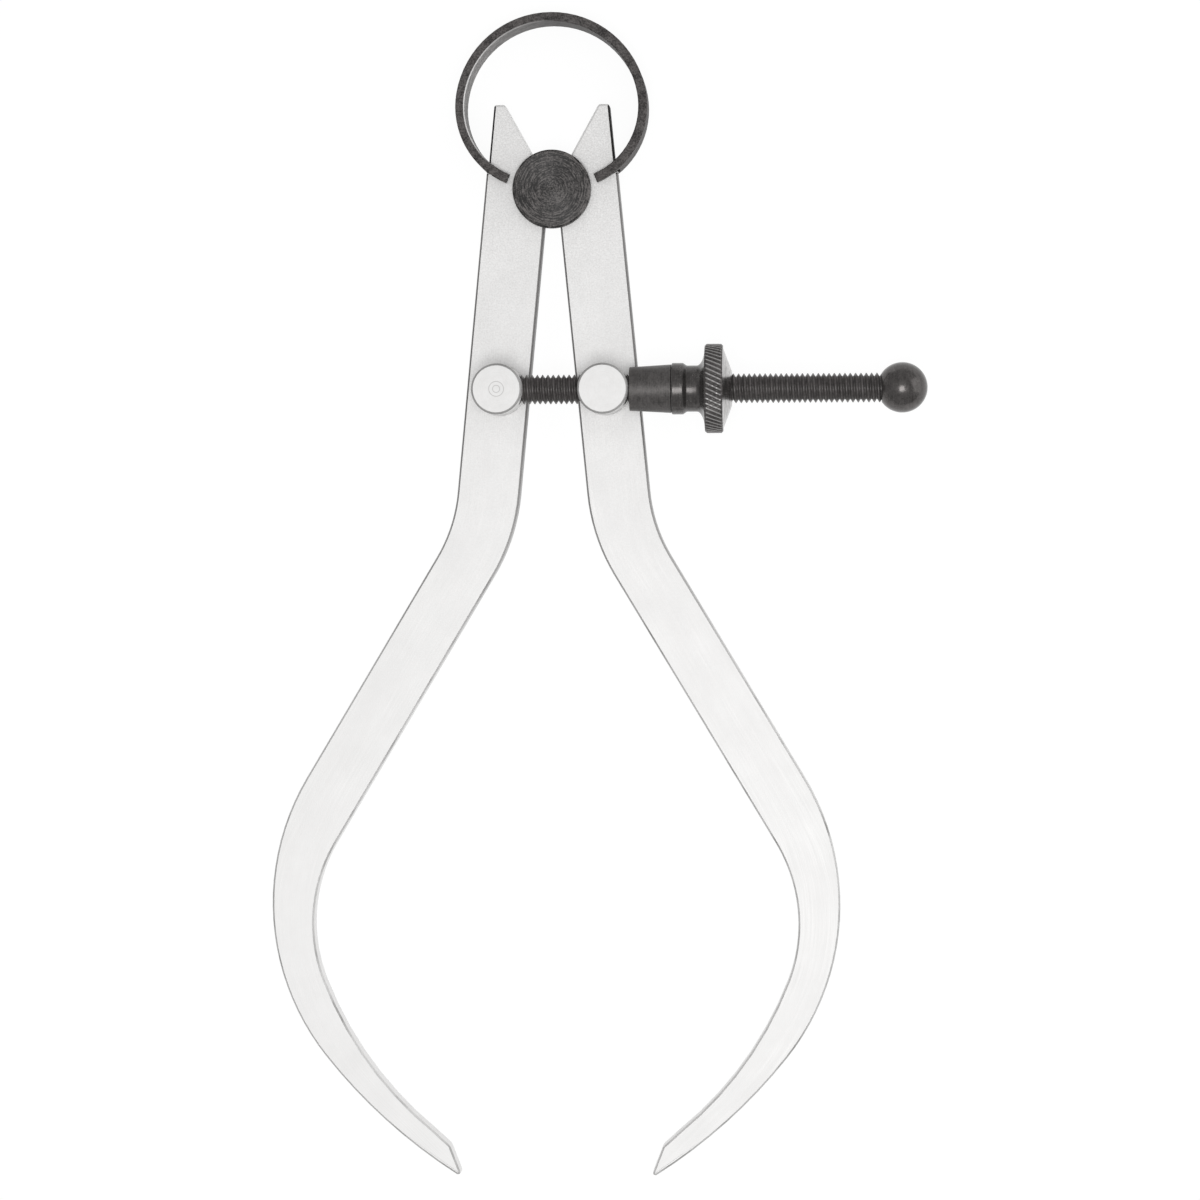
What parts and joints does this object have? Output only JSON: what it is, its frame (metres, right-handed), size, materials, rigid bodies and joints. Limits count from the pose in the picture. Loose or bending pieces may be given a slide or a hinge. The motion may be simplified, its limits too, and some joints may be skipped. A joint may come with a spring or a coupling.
{
  "type": "spring caliper",
  "caption": "Outside spring caliper: curved flat legs on a fulcrum roller under a round bow spring, set by a knurled nut on a threaded screw.",
  "frame": {"origin": "on the fulcrum axis, on the outer face of the back flange that the caliper lies on", "axes": "+Z out of the front of the legs, +Y from the tips to the bow spring, +X along the adjusting screw towards its ball"},
  "size_m": [0.0876, 0.1549, 0.0141],
  "materials": {
    "leg_steel": "satin, ground lengthwise",
    "stud_steel": "bright, turned",
    "black_oxide": "black oxide on turned steel and spring steel"
  },
  "bodies": {
    "fulcrum": {"fulcrum_roller": "black_oxide"},
    "bow": {"bow_spring": "black_oxide"},
    "left_leg": {"left_leg": "leg_steel"},
    "right_leg": {"right_leg": "leg_steel"},
    "screw": {"left_stud": "stud_steel", "adjusting_screw": "black_oxide", "ball_end": "black_oxide"},
    "right_swivel": {"right_stud": "stud_steel", "thrust_bush": "black_oxide"},
    "nut": {"adjusting_nut": "black_oxide"}
  },
  "joints": [
    {"name": "left_leg_swing", "type": "hinge", "parent": "fulcrum", "child": "left_leg", "pos_m": [0, 0, 0.00305], "axis": [0, 0, -1], "range_deg": [-5.42, 22.32]},
    {"name": "right_leg_swing", "type": "hinge", "parent": "fulcrum", "child": "right_leg", "pos_m": [0, 0, 0.00305], "axis": [0, 0, 1], "range_deg": [-5.6, 22.6]},
    {"name": "left_stud_swivel", "type": "hinge", "parent": "left_leg", "child": "screw", "pos_m": [-0.00699, -0.0267, 0.00825], "axis": [0, 0, 1], "range_deg": [-5.6, 22.6]},
    {"name": "right_stud_swivel", "type": "hinge", "parent": "right_leg", "child": "right_swivel", "pos_m": [0.00699, -0.0267, 0.00825], "axis": [0, 0, -1], "range_deg": [-5.6, 22.6]},
    {"name": "nut_spin", "type": "hinge", "parent": "right_swivel", "child": "nut", "pos_m": [0.00699, -0.0267, 0.00825], "axis": [1, 0, 0], "range_deg": [-2650, 10800]},
    {"name": "bow_rise", "type": "slide", "parent": "fulcrum", "child": "bow", "axis": [0, 1, 0], "range_m": [-0.00075, 0.003]}
  ],
  "couplings": [
    {"joint": "right_leg_swing", "follows": "left_leg_swing", "ratio": 1},
    {"joint": "left_stud_swivel", "follows": "left_leg_swing", "ratio": 1},
    {"joint": "right_stud_swivel", "follows": "left_leg_swing", "ratio": 1},
    {"joint": "nut_spin", "follows": "left_leg_swing", "ratio": 479.37},
    {"joint": "bow_rise", "follows": "left_leg_swing", "m_per_rad": 0.007356}
  ]
}
